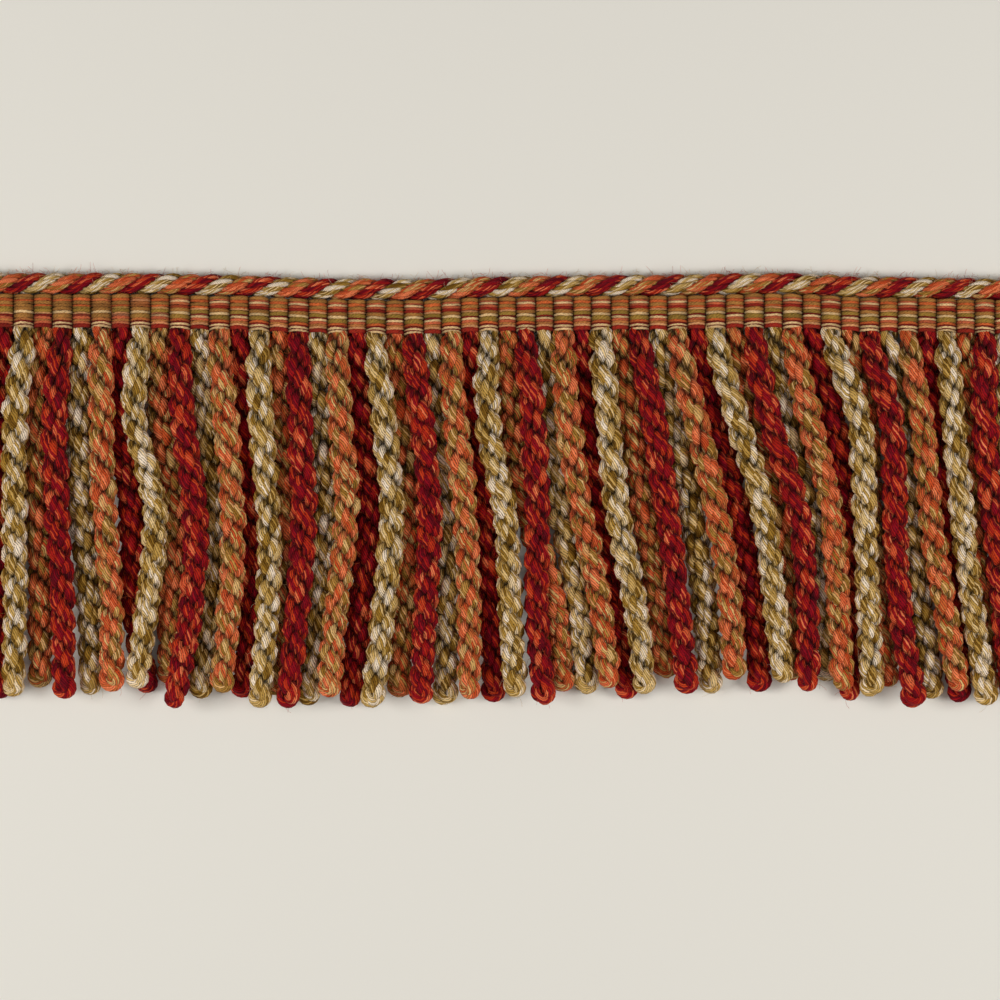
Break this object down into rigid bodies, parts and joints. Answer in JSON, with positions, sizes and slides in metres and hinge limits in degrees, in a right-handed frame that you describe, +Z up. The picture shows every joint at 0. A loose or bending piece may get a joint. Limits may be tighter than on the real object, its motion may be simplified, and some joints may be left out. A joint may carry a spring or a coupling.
{
  "type": "bullion fringe",
  "caption": "Cut length of bullion fringe laid flat: a twisted lip cord along a ribbed woven heading, with looped, twisted strands in three yarns hanging from it in two layers.",
  "frame": {"origin": "middle of the piece's footprint, on the surface that it lies on", "axes": "+X along the fringe, +Y from the strand tips to the corded edge, +Z up out of its face"},
  "size_m": [0.222, 0.0872, 0.0085],
  "materials": {
    "heading": "ribbed weave of brown-olive, orange, red and cream yarn",
    "lip_cord": "three-ply twisted cord in red, cream-olive and orange-tan yarn",
    "cream_yarn": "soft twisted yarn, cream with olive",
    "terracotta_yarn": "soft twisted yarn, orange with tan",
    "red_yarn": "soft twisted yarn, red with crimson and rust"
  },
  "bodies": {
    "root": {"heading": "heading", "lip_cord": "lip_cord", "bullions_cream": "cream_yarn", "bullions_terracotta": "terracotta_yarn", "bullions_red": "red_yarn"}
  },
  "joints": []
}
